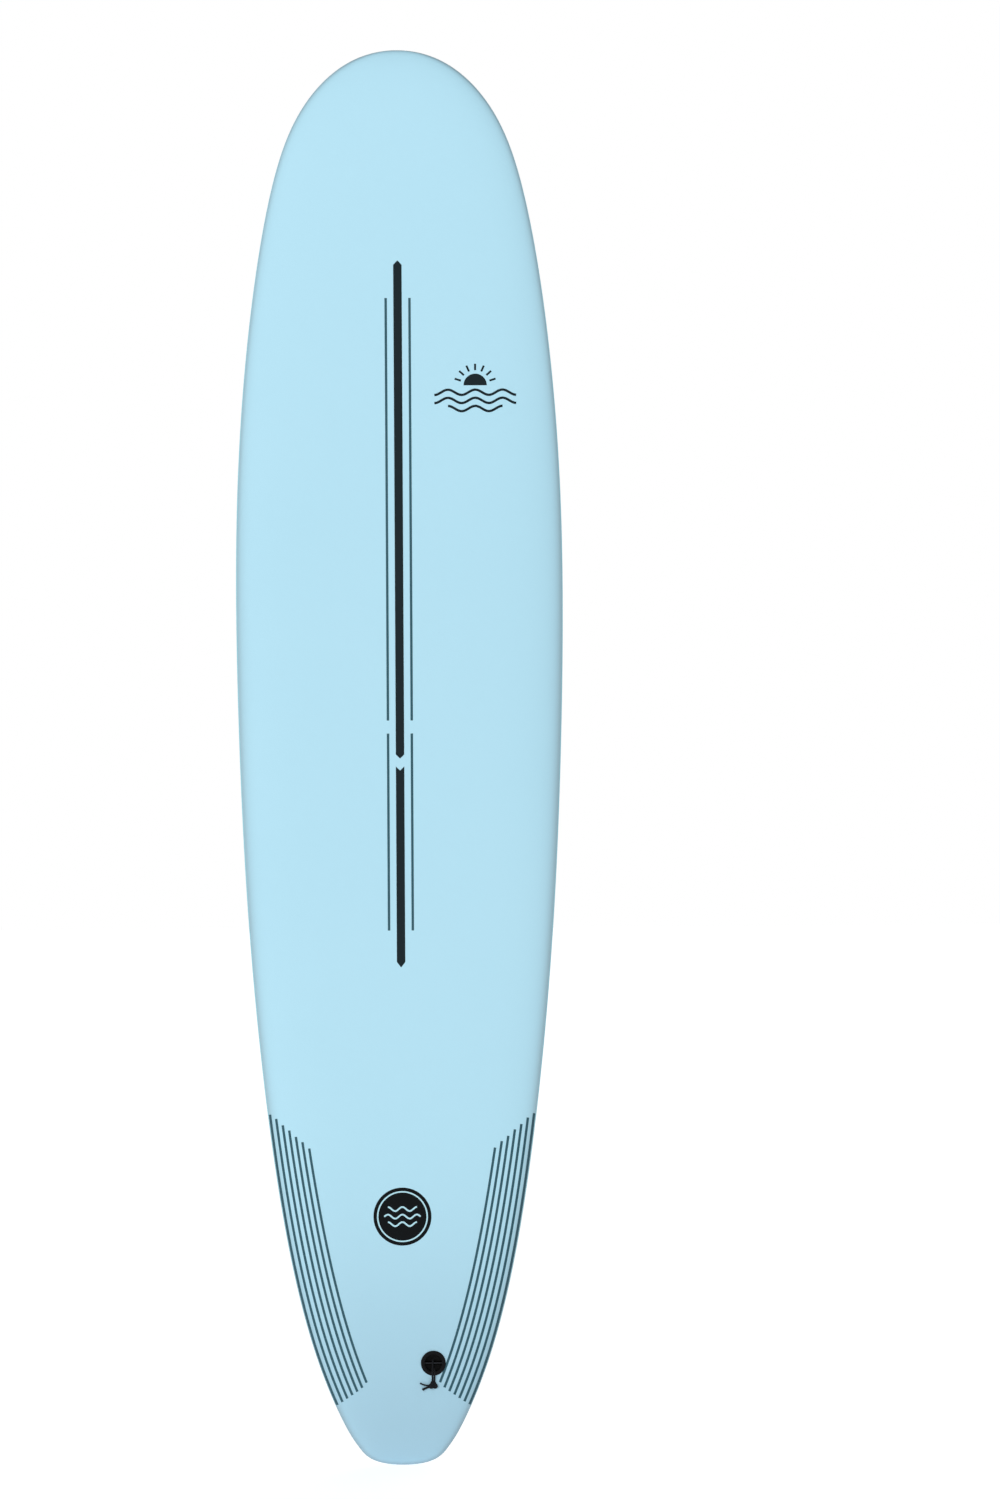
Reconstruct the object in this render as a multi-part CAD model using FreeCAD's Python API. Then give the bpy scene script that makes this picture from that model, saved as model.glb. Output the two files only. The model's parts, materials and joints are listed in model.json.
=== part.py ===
import FreeCAD, Part
import math
import os

V = FreeCAD.Vector

# Soft-top mini-mal surfboard.
#
# Board frame while it is built (millimetres): x runs from the tail's end to the nose's tip,
# y is to the rider's left, z is up out of the deck, z = 0 is about the lowest point of the bottom.
# At the end every piece is stood upright on its tail: the nose points +Z and the deck faces -Y,
# with the origin under the middle of the bounding box.

# ---- hull ----
LENGTH = 2438.0            # tail end to nose tip, 8 ft 0 in
WIDTH = 565.0              # across the widest point, 22 1/4 in
THICKNESS = 80.0           # deck to bottom at the middle, 3 1/8 in
NOSE_ROCKER = 118.0        # lift of the bottom at the nose
TAIL_ROCKER = 50.0         # lift of the bottom at the tail
FLAT_SPOT = 1085.0         # distance from the tail to the lowest point of the bottom
NOSE_CURVE = 2.6           # power of the nose's lift
TAIL_CURVE = 2.1           # power of the tail's lift

# ---- layers ----
DECK_SKIN = 5.0            # closed-cell foam sheet on the deck and rails
SLICK_SHEET = 1.6          # hard polyethylene sheet on the bottom
GLUE_LINE = 0.3            # film of glue between skin and core, and round what is set in them
BUTT_GAP = 0.2             # between two sheets that meet edge to edge
TAIL_SEAM = 47.5           # rim of the leash plug to the seam across the deck ahead of it
RAIL_BAND = 10.0           # strip of rail skin that shows round the slick sheet
SEAM_DROP = 3.0            # how far the seam of deck and rail skins lies below the middle height
STRINGER = 4.0             # thickness of a plywood stringer
STRINGER_PITCH = 95.0      # centre stringer to each side stringer

# ---- fin boxes ----
BOX_LENGTH = 146.0
BOX_WIDTH = 35.0
BOX_CORNER = 10.0
BOX_FLANGE = 4.0           # depth of the flange below the slick sheet's face
BOX_PROUD = 0.4            # flange face above the slick sheet
BOX_EDGE = 0.3             # rounding of the flange's rim
BOX_STEP = 5.0             # flange beyond the body, all round
BOX_DEPTH = 24.0           # slick sheet's face to the underside of the body
CENTRE_BOX_X = 233.0       # tail end to the middle of the centre box
SIDE_BOX_X = 435.0         # tail end to the middle of each side box
SIDE_BOX_INSET = 50.0      # outline to the middle of each side box
TOE_IN = 1.8               # degrees, front of a side fin turned to the stringer
CANT = 4.0                 # degrees, side fins leaning outward

# ---- fins ----
FIN_HEIGHT = 114.0
FIN_BASE = 115.0           # chord at the root
FIN_THICK = 8.0            # at the root
FIN_RAKE = 18.0            # tip behind the root's trailing corner
FIN_FOOT = 0.5             # root above the box's flange face
FIN_SHIFT = 3.0            # middle of the root ahead of the middle of the box
TAB_LENGTH = 26.0
TAB_THICK = 6.5
TAB_DEPTH = 15.0           # below the slick sheet's face
TAB_CORNER = 3.0
TAB_PITCH = 56.0           # between the middles of the two tabs
TAB_ROOT = 1.5             # tab's top inside the fin's root
TAB_FIT = 0.12             # tab to well, each side
TAB_SEAT = 0.3             # tab's foot above the floor of its well

# ---- grub screws ----
SCREW_DIA = 5.0
SCREW_LENGTH = 8.0
SCREW_TILT = 25.0          # degrees from the fin's height
SCREW_TIP = 9.5            # depth of the tip's middle below the slick sheet's face
SCREW_FIT = 0.05           # radial
SCREW_NIP = 0.06           # tip to tab
SCREW_END = 0.3            # tip to the end of the screw's bore
HEX_KEY = 2.5              # across flats
HEX_DEPTH = 3.0
SCREW_TURN = 20.0          # degrees that each screw happens to stand round

# ---- leash plug and string ----
PLUG_X = 176.0             # tail end to the plug's axis
PLUG_Y = -52.0             # centre line to the plug's axis
PLUG_DIA = 43.0            # flange
PLUG_PROUD = 1.8           # flange above the deck
PLUG_RECESS = 2.0          # flange let into the deck skin
PLUG_BODY = 36.0           # outside of the cup
PLUG_BORE = 30.0           # inside of the cup
PLUG_FLOOR = 19.5          # deck to the floor of the cup
PLUG_BASE = 3.0            # thickness of the floor
PLUG_EDGE = 1.2            # rounding of the flange's rim
PLUG_MOUTH = 0.8           # rounding of the bore's mouth
BAR_DIA = 5.0
BAR_DEPTH = 9.0            # deck to the bar's axis
BAR_FIT = 0.05
BAR_SHY = 0.5              # bar's end inside the cup's outer wall
STRING_DIA = 2.8
KNOT_LENGTH = 10.0
KNOT_WIDTH = 12.0
KNOT_HEIGHT = 6.4
KNOT_FLAT = 2.0            # cut off where the strands enter
END_LENGTH = 17.0          # loose end past the knot's middle
END_TIP = 1.0              # radius of a loose end's tip

# Stations: share of the length, of the half-width and of the half-thickness at each ring of
# control points. The first two and the last two rings share a place, which rounds the ends.
STATIONS = [
    (0.0, 0.0, 0.0),
    (0.0, 0.189, 0.31),
    (0.0123, 0.275, 0.42),
    (0.0254, 0.354, 0.50),
    (0.0738, 0.540, 0.63),
    (0.1538, 0.714, 0.76),
    (0.2728, 0.857, 0.89),
    (0.4020, 0.952, 0.985),
    (0.5414, 0.998, 1.02),
    (0.6768, 1.006, 0.90),
    (0.7978, 0.932, 0.76),
    (0.9085, 0.782, 0.60),
    (0.9721, 0.570, 0.45),
    (1.0, 0.232, 0.30),
    (1.0, 0.0, 0.0),
]
LONG_CUTS = [0, 3, 6, 9, 12]       # the hull's surface is made in this many lengths

# Half of the cross-section, deck centre to bottom centre: share of half-width and half-thickness.
SECTION = [
    (0.0, 1.0),
    (0.30, 0.985),
    (0.58, 0.91),
    (0.80, 0.74),
    (0.93, 0.45),
    (0.993, 0.08),
    (1.002, -0.25),
    (0.998, -0.60),
    (0.975, -0.90),
    (0.93, -1.0),
    (0.84, -1.0),
    (0.60, -1.0),
    (0.30, -1.0),
    (0.0, -1.0),
]
ROUND_CUTS = [0, 4, 10, 13, 16, 22, 26]    # deck, rail and bottom patches

# Half of a fin's section, leading to trailing edge: share of half the thickness, of the chord.
FOIL = [(0.0, 1.0), (0.55, 0.985), (1.05, 0.80), (1.05, 0.50), (0.72, 0.25), (0.25, 0.03), (0.0, 0.0)]

# Fin profile: share of the height, of the way from the root's leading corner to the tip, of the
# rake, and of the root's thickness. The last row is closed by a point on its own level.
FIN_ROWS = [
    (0.0, 0.0, 0.0, 1.0),
    (0.09, 0.03, -0.12, 0.98),
    (0.30, 0.16, -0.15, 0.90),
    (0.52, 0.36, 0.05, 0.78),
    (0.74, 0.60, 0.40, 0.64),
    (0.90, 0.82, 0.76, 0.50),
    (1.0, 0.93, 0.95, 0.40),
]

# String's route from the knot round the bar and back, from the plug's axis at the deck:
# towards the nose, to the rider's left, out of the deck.
ROUTE = [
    (-34.5, -1.8, 1.8),
    (-27.5, -1.8, 1.8),
    (-14.2, -1.9, 6.2),
    (-8.4, -1.5, -8.6),
    (-0.8, -0.8, -15.0),
    (5.8, -0.1, -12.2),
    (6.4, 0.5, -5.6),
    (0.4, 1.2, -2.6),
    (-7.0, 1.7, -1.2),
    (-14.8, 1.9, 5.8),
    (-27.5, 1.7, 1.8),
    (-34.5, 1.7, 1.8),
]


def rocker(x):
    """Height of the bottom's centre line above its lowest point."""
    if x < FLAT_SPOT:
        return TAIL_ROCKER * ((FLAT_SPOT - x) / FLAT_SPOT) ** TAIL_CURVE
    return NOSE_ROCKER * ((x - FLAT_SPOT) / (LENGTH - FLAT_SPOT)) ** NOSE_CURVE


def stations(deck, rail, bottom):
    """Rings (x, half-width, half-thickness, middle height), shrunk by the layers outside them."""
    rings = []
    for along, wide, thick in STATIONS:
        x = rail + along * (LENGTH - 2 * rail)
        half_w = wide * WIDTH / 2
        half_t = thick * THICKNESS / 2
        middle = rocker(along * LENGTH) + half_t + (bottom - deck) / 2
        rings.append([x, half_w - rail, half_t - (deck + bottom) / 2, middle])
    for end, ring in ((0, 1), (-1, -2)):
        rings[end] = [rings[end][0], 0.0, 0.0, rings[ring][3]]
    return rings


def mirror(half):
    """Closed loop of a half section that starts and ends on the mirror line."""
    return half + [(-a, b) for a, b in reversed(half[1:-1])]


def patches(rows, long_cuts, round_cuts, open_foot=False):
    """Solid on cubic rings of control points, made of patches that share their edges.

    An end whose ring is a single point closes itself, and an open foot is capped flat.
    """
    n = len(rows)
    m = len(rows[0])
    turned = [row[-1:] + row[:-1] for row in rows]
    faces = []
    rim = []
    for u0, u1 in zip(long_cuts, long_cuts[1:]):
        for v0, v1 in zip(round_cuts, round_cuts[1:]):
            surf = Part.BSplineSurface()
            surf.buildFromPolesMultsKnots(turned, [4] + [1] * (n - 4) + [4], [1] * (m + 1),
                                          list(range(n - 2)), list(range(m + 1)), False, True, 3, 3)
            surf.setVNotPeriodic()
            surf.segment(u0, u1, v0, v1)
            faces.append(surf.toShape())
            if open_foot and u0 == 0:
                rim.append(surf.uIso(0).toShape())
    if rim:
        faces.append(Part.Face(Part.Wire(rim)))
    shell = Part.Shell(faces)
    shell.sewShape()
    solid = Part.Solid(shell)
    if solid.Volume < 0:
        solid.reverse()
    return solid


def hull(deck, rail, bottom):
    """Board's outer form, less a layer on the deck, on the rails and ends, and on the bottom."""
    loop = mirror(SECTION)
    rows = [[V(x, a * w, c + b * t) for a, b in loop] for x, w, t, c in stations(deck, rail, bottom)]
    return patches(rows, LONG_CUTS, ROUND_CUTS)


def spline_edge(poles):
    """Cubic curve on a row of control points, spaced as the hull's rings are."""
    n = len(poles)
    curve = Part.BSplineCurve()
    curve.buildFromPolesMultsKnots(poles, [4] + [1] * (n - 4) + [4], list(range(n - 2)), False, 3)
    return curve.toShape()


def outline_prism(inset):
    """Upright prism on the board's outline, moved in by the inset."""
    rings = stations(0.0, inset, 0.0)
    sides = [spline_edge([V(x, sign * w, -THICKNESS) for x, w, t, c in rings]) for sign in (1, -1)]
    return Part.Face(Part.Wire(sides)).extrude(V(0, 0, NOSE_ROCKER + 3 * THICKNESS))


def below_seam(drop):
    """Everything below the board's middle height, less a drop."""
    heights = [V(x, -WIDTH, c - drop) for x, w, t, c in stations(0.0, 0.0, 0.0)]
    heights[0] = V(-THICKNESS, -WIDTH, heights[0].z)
    heights[-1] = V(LENGTH + THICKNESS, -WIDTH, heights[-1].z)
    low = -2 * THICKNESS
    corners = [V(heights[-1]), V(heights[-1].x, -WIDTH, low), V(heights[0].x, -WIDTH, low), V(heights[0])]
    rest = [Part.makeLine(a, b) for a, b in zip(corners, corners[1:])]
    return Part.Face(Part.Wire([spline_edge(heights)] + rest)).extrude(V(0, 2 * WIDTH, 0))


def block(x0, x1, y0, y1):
    """Upright block between two lengths and two widths, taller than the board."""
    return Part.makeBox(x1 - x0, y1 - y0, NOSE_ROCKER + 4 * THICKNESS, V(x0, y0, -THICKNESS))


def rounded_bar(length, width, corner, h0, h1):
    """Prism with a rounded rectangular outline, centred on the frame's axis."""
    bar = Part.makeBox(length, width, h1 - h0, V(-length / 2, -width / 2, h0))
    upright = [e for e in bar.Edges if abs(e.Vertexes[0].Z - e.Vertexes[1].Z) > 0.5 * (h1 - h0)]
    return bar.makeFillet(corner, upright)


def half_width(x):
    """Centre line to the board's outline at a distance from the tail."""
    edge = spline_edge([V(at, w, 0) for at, w, t, c in stations(0.0, 0.0, 0.0)])
    return edge.distToShape(Part.makeLine(V(x, 0, 0), V(x, WIDTH, 0)))[1][0][0].y


def rod(radius, start, way, length):
    return Part.makeCylinder(radius, length, start, way)


def surface_frame(body, x, y, up, toe=0.0):
    """Matrix of a frame on the hull's deck (up = 1) or bottom (up = -1): forward, side, outward."""
    def probe(px, py):
        line = Part.makeLine(V(px, py, -THICKNESS), V(px, py, NOSE_ROCKER + 2 * THICKNESS))
        ends = [v.Point for v in line.common(body).Vertexes]
        return max(ends, key=lambda p: up * p.z)
    step = 5.0
    along = probe(x + step, y) - probe(x - step, y)
    across = probe(x, y + step) - probe(x, y - step)
    out = along.cross(across).normalize() * up
    forward = V(math.cos(math.radians(toe)), math.sin(math.radians(toe)), 0)
    forward = (forward - out * forward.dot(out)).normalize()
    side = out.cross(forward)
    o = probe(x, y)
    return FreeCAD.Matrix(forward.x, side.x, out.x, o.x, forward.y, side.y, out.y, o.y,
                          forward.z, side.z, out.z, o.z, 0, 0, 0, 1)


def placed(shape, matrix):
    moved = shape.copy()
    moved.Placement = FreeCAD.Placement(matrix).multiply(shape.Placement)
    return moved


def one(shape):
    """The single solid of a cut's result."""
    solids = shape.Solids
    if len(solids) != 1:
        raise ValueError("expected one solid, got %d" % len(solids))
    return solids[0]


def tilt(degrees):
    """Turn about the forward axis that leans outward by the angle."""
    return FreeCAD.Placement(V(0, 0, 0), FreeCAD.Rotation(V(1, 0, 0), degrees)).toMatrix()


# ---- fins, fin boxes and grub screws, each in the frame of its box ----

TABS = [FIN_SHIFT + TAB_PITCH / 2, FIN_SHIFT - TAB_PITCH / 2]


def screw_line(tab_x):
    """Middle of a grub screw's tip and the way out along the screw."""
    lean = math.radians(SCREW_TILT)
    side = TAB_THICK / 2 + SCREW_NIP + SCREW_DIA / 2 * math.cos(lean)
    return V(tab_x, side, -SCREW_TIP), V(0, math.sin(lean), math.cos(lean))


def fin():
    """Foiled blade with two tabs under its root."""
    foot = BOX_PROUD + FIN_FOOT
    root_lead = FIN_SHIFT + FIN_BASE / 2
    root_trail = FIN_SHIFT - FIN_BASE / 2
    tip = root_trail - FIN_RAKE
    loop = mirror(FOIL)
    rows = []
    for up, way, raked, thick in FIN_ROWS:
        lead = root_lead + way * (tip - root_lead)
        trail = root_trail - raked * FIN_RAKE
        h = foot + up * FIN_HEIGHT
        half = thick * FIN_THICK / 2
        rows.append([V(trail + c * (lead - trail), s * half, h) for s, c in loop])
    middle = V((lead + trail) / 2, 0, h)
    rows.append([middle] * len(loop))
    blade = patches(rows, [0, 2, 5], [0, 3, 6, 9, 12], open_foot=True)
    for x in TABS:
        tab = Part.makeBox(TAB_LENGTH, TAB_THICK, TAB_DEPTH + foot + TAB_ROOT,
                           V(x - TAB_LENGTH / 2, -TAB_THICK / 2, -TAB_DEPTH))
        low = [e for e in tab.Edges if e.BoundBox.ZMax < 1 - TAB_DEPTH and e.BoundBox.XLength < 0.01]
        blade = blade.fuse(tab.makeFillet(TAB_CORNER, low))
    return one(blade)


def fin_box(cant):
    """Flanged box with two tab wells and two screw holes."""
    flange = rounded_bar(BOX_LENGTH, BOX_WIDTH, BOX_CORNER, -BOX_FLANGE, BOX_PROUD)
    rim = [e for e in flange.Edges if e.BoundBox.ZMin > BOX_PROUD - 0.01]
    flange = flange.makeFillet(BOX_EDGE, rim)
    body = rounded_bar(BOX_LENGTH - 2 * BOX_STEP, BOX_WIDTH - 2 * BOX_STEP, BOX_CORNER - BOX_STEP / 2,
                       -BOX_DEPTH, -BOX_FLANGE)
    box = flange.fuse(body)
    for x in TABS:
        length = TAB_LENGTH + 2 * TAB_FIT
        width = TAB_THICK + 2 * TAB_FIT
        floor = -TAB_DEPTH - TAB_SEAT
        well = Part.makeBox(length, width, 4 * BOX_PROUD - floor, V(x - length / 2, -width / 2, floor))
        tip, way = screw_line(x)
        bore = rod(SCREW_DIA / 2 + SCREW_FIT, tip - way * SCREW_END, way, 2 * SCREW_TIP)
        for tool in (well, bore):
            box = box.cut(placed(tool, tilt(cant)))
    return one(box)


def box_pocket():
    """Room that a fin box takes in the bottom, with its film of glue."""
    g = GLUE_LINE
    flange = rounded_bar(BOX_LENGTH + 2 * g, BOX_WIDTH + 2 * g, BOX_CORNER + g, -BOX_FLANGE - g, BOX_DEPTH)
    body = rounded_bar(BOX_LENGTH - 2 * BOX_STEP + 2 * g, BOX_WIDTH - 2 * BOX_STEP + 2 * g,
                       BOX_CORNER - BOX_STEP / 2 + g, -BOX_DEPTH - g, 0)
    return one(flange.fuse(body))


def grub_screw(x):
    """Headless screw with a hex socket, its flat tip against the tab."""
    tip, way = screw_line(x)
    screw = rod(SCREW_DIA / 2, tip, way, SCREW_LENGTH)
    corners = [V(HEX_KEY / math.sqrt(3) * math.cos(math.radians(60 * i)),
                 HEX_KEY / math.sqrt(3) * math.sin(math.radians(60 * i)), 0) for i in range(7)]
    socket = Part.Face(Part.makePolygon(corners)).extrude(V(0, 0, 2 * HEX_DEPTH))
    turn = FreeCAD.Rotation(V(0, 0, 1), way)
    socket.Placement = FreeCAD.Placement(tip + way * (SCREW_LENGTH - HEX_DEPTH), turn)
    screw = one(screw.cut(socket))
    screw.rotate(tip, way, SCREW_TURN)
    return screw


# ---- leash plug and string, in the frame of the plug ----

def leash_plug():
    """Flanged cup with two holes for the bar."""
    flange = rod(PLUG_DIA / 2, V(0, 0, -PLUG_RECESS), V(0, 0, 1), PLUG_RECESS + PLUG_PROUD)
    rim = [e for e in flange.Edges if e.BoundBox.ZMin > PLUG_PROUD - 0.01]
    flange = flange.makeFillet(PLUG_EDGE, rim)
    foot = -PLUG_FLOOR - PLUG_BASE
    cup = flange.fuse(rod(PLUG_BODY / 2, V(0, 0, foot), V(0, 0, 1), -foot - PLUG_RECESS))
    cup = cup.cut(rod(PLUG_BORE / 2, V(0, 0, -PLUG_FLOOR), V(0, 0, 1), PLUG_FLOOR + 2 * PLUG_PROUD))
    mouth = [e for e in cup.Edges if e.BoundBox.ZMin > PLUG_PROUD - 0.01
             and abs(e.BoundBox.XLength - PLUG_BORE) < 0.1]
    cup = cup.makeFillet(PLUG_MOUTH, mouth)
    return one(cup.cut(rod(BAR_DIA / 2 + BAR_FIT, V(0, -PLUG_BODY, -BAR_DEPTH), V(0, 1, 0), 2 * PLUG_BODY)))


def leash_bar():
    length = PLUG_BODY - 2 * BAR_SHY
    return rod(BAR_DIA / 2, V(0, -length / 2, -BAR_DEPTH), V(0, 1, 0), length)


def plug_pocket():
    """Room that the plug takes in the deck, with its film of glue."""
    g = GLUE_LINE
    flange = rod(PLUG_DIA / 2 + g, V(0, 0, -PLUG_RECESS - g), V(0, 0, 1), PLUG_FLOOR)
    depth = PLUG_FLOOR + PLUG_BASE + g
    return flange.fuse(rod(PLUG_BODY / 2 + g, V(0, 0, -depth), V(0, 0, 1), depth))


def cord(points, dia):
    """Round tube along straight runs joined by the largest tangent arcs that the runs allow."""
    pts = [V(*p) for p in points]
    edges = []
    radii = []
    start = pts[0]
    for p, q, r in zip(pts, pts[1:], pts[2:]):
        into = (q - p).normalize()
        away = (r - q).normalize()
        turn = into.getAngle(away)
        reach = 0.45 * min((q - p).Length, (r - q).Length)
        radius = reach / math.tan(turn / 2)
        a = q - into * reach
        b = q + away * reach
        middle = q + (away - into).normalize() * (radius / math.cos(turn / 2) - radius)
        edges += [Part.makeLine(start, a), Part.Arc(a, middle, b).toShape()]
        radii.append(radius)
        start = b
    edges.append(Part.makeLine(start, pts[-1]))
    path = Part.Wire(edges)
    section = Part.Wire([Part.makeCircle(dia / 2, pts[0], pts[1] - pts[0])])
    tube = one(path.makePipeShell([section], True, False))
    want = math.pi * dia ** 2 / 4 * path.Length
    print("string: length %.1f, volume %.3f of section x length" % (path.Length, tube.Volume / want))
    print("string: radii", [round(r, 1) for r in radii])
    return tube


def knot():
    """Overhand knot where the string's two strands end, with its two loose ends."""
    x = ROUTE[0][0] + KNOT_FLAT - KNOT_LENGTH / 2
    z = KNOT_HEIGHT / 2 + GLUE_LINE
    ball = Part.makeSphere(1.0)
    stretch = FreeCAD.Matrix()
    stretch.scale(V(KNOT_LENGTH / 2, KNOT_WIDTH / 2, KNOT_HEIGHT / 2))
    body = ball.transformGeometry(stretch)
    body.translate(V(x, 0, z))
    body = body.common(Part.makeBox(4 * KNOT_WIDTH, 4 * KNOT_WIDTH, 4 * KNOT_HEIGHT,
                                    V(ROUTE[0][0] - 4 * KNOT_WIDTH, -2 * KNOT_WIDTH, -KNOT_HEIGHT)))
    low = STRING_DIA / 2 + GLUE_LINE
    for sweep, rise in ((8.0, 0.6), (38.0, 0.0)):
        turn = math.radians(sweep)
        way = V(-math.sin(turn), math.cos(turn), 0)
        end = Part.makeCone(STRING_DIA / 2, END_TIP, END_LENGTH, V(x, 0, low + rise), way)
        body = body.fuse(end)
    return one(body)


# ---- board ----

outer = hull(0.0, 0.0, 0.0)
inner = hull(DECK_SKIN, DECK_SKIN, SLICK_SHEET)
core = hull(DECK_SKIN + GLUE_LINE, DECK_SKIN + GLUE_LINE, SLICK_SHEET + GLUE_LINE)
print("hull: %.1f litres" % (outer.Volume / 1e6))

side_y = half_width(SIDE_BOX_X) - SIDE_BOX_INSET
print("side boxes: %.2f from the centre line" % side_y)
box_frames = {
    "centre": (surface_frame(outer, CENTRE_BOX_X, 0.0, -1), 0.0),
    "left": (surface_frame(outer, SIDE_BOX_X, side_y, -1, -TOE_IN), CANT),
    "right": (surface_frame(outer, SIDE_BOX_X, -side_y, -1, TOE_IN), -CANT),
}
plug_frame = surface_frame(outer, PLUG_X, PLUG_Y, 1)
box_rooms = [placed(box_pocket(), frame) for frame, cant in box_frames.values()]
plug_room = placed(plug_pocket(), plug_frame)

pieces = {}

upper = outer.cut(below_seam(SEAM_DROP)).cut(inner)
lower = outer.common(below_seam(SEAM_DROP + BUTT_GAP)).cut(inner)
far = LENGTH + THICKNESS
half_gap = BUTT_GAP / 2
tail = PLUG_X + PLUG_DIA / 2 + TAIL_SEAM
pieces["deck_skin"] = upper.common(block(tail + half_gap, far, -WIDTH, WIDTH))
pieces["tail_skin_left"] = upper.common(block(-THICKNESS, tail - half_gap, half_gap, WIDTH))
right = upper.common(block(-THICKNESS, tail - half_gap, -WIDTH, -half_gap))
pieces["tail_skin_right"] = right.cut(plug_room)
pieces["rail_skin"] = lower.cut(outline_prism(RAIL_BAND))
slick = lower.common(outline_prism(RAIL_BAND + BUTT_GAP))
for room in box_rooms:
    slick = slick.cut(room)
pieces["slick_bottom"] = slick

strip = STRINGER / 2
walls = {"left": STRINGER_PITCH, "centre": 0.0, "right": -STRINGER_PITCH}
for name, y in walls.items():
    pieces["stringer_" + name] = core.common(block(-THICKNESS, far, y - strip, y + strip))
bays = {
    "core_left_outer": (STRINGER_PITCH + strip, WIDTH),
    "core_left_inner": (strip, STRINGER_PITCH - strip),
    "core_right_inner": (strip - STRINGER_PITCH, -strip),
    "core_right_outer": (-WIDTH, -STRINGER_PITCH - strip),
}
for name, (y0, y1) in bays.items():
    pieces[name] = core.common(block(-THICKNESS, far, y0, y1))
for name in list(pieces):
    if name.startswith("stringer") or name.startswith("core"):
        for room in box_rooms + [plug_room]:
            if pieces[name].BoundBox.intersect(room.BoundBox):
                pieces[name] = pieces[name].cut(room)

joints = {}
for name, (frame, cant) in box_frames.items():
    lean = frame.multiply(tilt(cant))
    pieces["fin_box_" + name] = placed(fin_box(cant), frame)
    pieces["fin_" + name] = placed(fin(), lean)
    origin = lean.multVec(V(0, 0, 0))
    joints["fin_" + name] = (origin, lean.multVec(V(0, 0, 1)) - origin)
    for end, x in zip(("front", "rear"), TABS):
        pieces["fin_screw_%s_%s" % (name, end)] = placed(grub_screw(x), lean)
        tip, way = screw_line(x)
        joints["fin_screw_%s_%s" % (name, end)] = (lean.multVec(tip), lean.multVec(tip + way) - lean.multVec(tip))

pieces["leash_plug"] = placed(leash_plug(), plug_frame)
pieces["leash_bar"] = placed(leash_bar(), plug_frame)
pieces["leash_string"] = placed(cord(ROUTE, STRING_DIA), plug_frame)
pieces["leash_knot"] = placed(knot(), plug_frame)

# ---- upright on the tail, nose up, deck to -Y, origin under the middle ----

UPRIGHT = FreeCAD.Matrix(0, -1, 0, 0, 0, 0, -1, 0, 1, 0, 0, 0, 0, 0, 0, 1)
stood = {name: placed(one(shape), UPRIGHT) for name, shape in pieces.items()}
boxes = [s.optimalBoundingBox(False, False) for n, s in stood.items() if n not in ("leash_string", "leash_knot")]
shift = V(-(min(b.XMin for b in boxes) + max(b.XMax for b in boxes)) / 2,
          -(min(b.YMin for b in boxes) + max(b.YMax for b in boxes)) / 2,
          -min(b.ZMin for b in boxes))
move = FreeCAD.Matrix()
move.move(shift)
print("size %.1f x %.1f x %.1f" % (max(b.XMax for b in boxes) - min(b.XMin for b in boxes),
                                   max(b.YMax for b in boxes) - min(b.YMin for b in boxes),
                                   max(b.ZMax for b in boxes) - min(b.ZMin for b in boxes)))

os.makedirs("parts", exist_ok=True)
for name, shape in stood.items():
    placed(shape, move).exportStep("parts/%s.step" % name)

whole = move.multiply(UPRIGHT)
for name, (origin, way) in joints.items():
    o = whole.multVec(origin)
    w = whole.multVec(origin + way) - o
    print("joint %s at %.3f %.3f %.3f along %.6f %.6f %.6f" % (name, o.x, o.y, o.z, w.x, w.y, w.z))
for label, point in (("plug", V(0, 0, 0)), ("plug out", V(0, 0, 1)), ("plug forward", V(1, 0, 0)),
                     ("plug side", V(0, 1, 0)), ("bar", V(0, 0, -BAR_DEPTH))):
    p = whole.multVec(plug_frame.multVec(point))
    print("%s %.4f %.4f %.4f" % (label, p.x, p.y, p.z))
for name, shape in stood.items():
    print("%-26s %12.1f mm3 valid %s" % (name, shape.Volume, shape.isValid()))
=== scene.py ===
import json
import math

import bmesh
import bpy
import numpy as np
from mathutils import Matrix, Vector


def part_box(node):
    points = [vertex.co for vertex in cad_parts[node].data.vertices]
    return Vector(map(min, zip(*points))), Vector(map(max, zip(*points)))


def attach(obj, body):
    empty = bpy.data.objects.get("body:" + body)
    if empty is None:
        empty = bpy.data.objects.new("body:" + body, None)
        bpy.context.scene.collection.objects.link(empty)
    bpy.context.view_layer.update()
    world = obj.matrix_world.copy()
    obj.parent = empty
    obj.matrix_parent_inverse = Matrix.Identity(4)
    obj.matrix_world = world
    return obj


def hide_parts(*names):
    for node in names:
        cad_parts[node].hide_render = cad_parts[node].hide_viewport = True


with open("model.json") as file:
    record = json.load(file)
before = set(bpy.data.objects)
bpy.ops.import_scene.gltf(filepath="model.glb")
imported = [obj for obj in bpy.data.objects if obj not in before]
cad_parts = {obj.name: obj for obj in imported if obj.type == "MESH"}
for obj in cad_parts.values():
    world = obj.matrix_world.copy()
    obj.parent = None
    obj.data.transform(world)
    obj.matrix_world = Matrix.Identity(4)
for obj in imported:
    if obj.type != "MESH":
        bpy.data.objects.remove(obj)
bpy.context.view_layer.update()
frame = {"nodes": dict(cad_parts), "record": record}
record = frame["record"]
nodes = frame["nodes"]
scene = bpy.context.scene


# ---- Studio ----
# The board stands on its tail on a pale floor that runs out of sight, in even white surroundings,
# with one broad soft light ahead of the deck and a weaker one behind the bottom.

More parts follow.
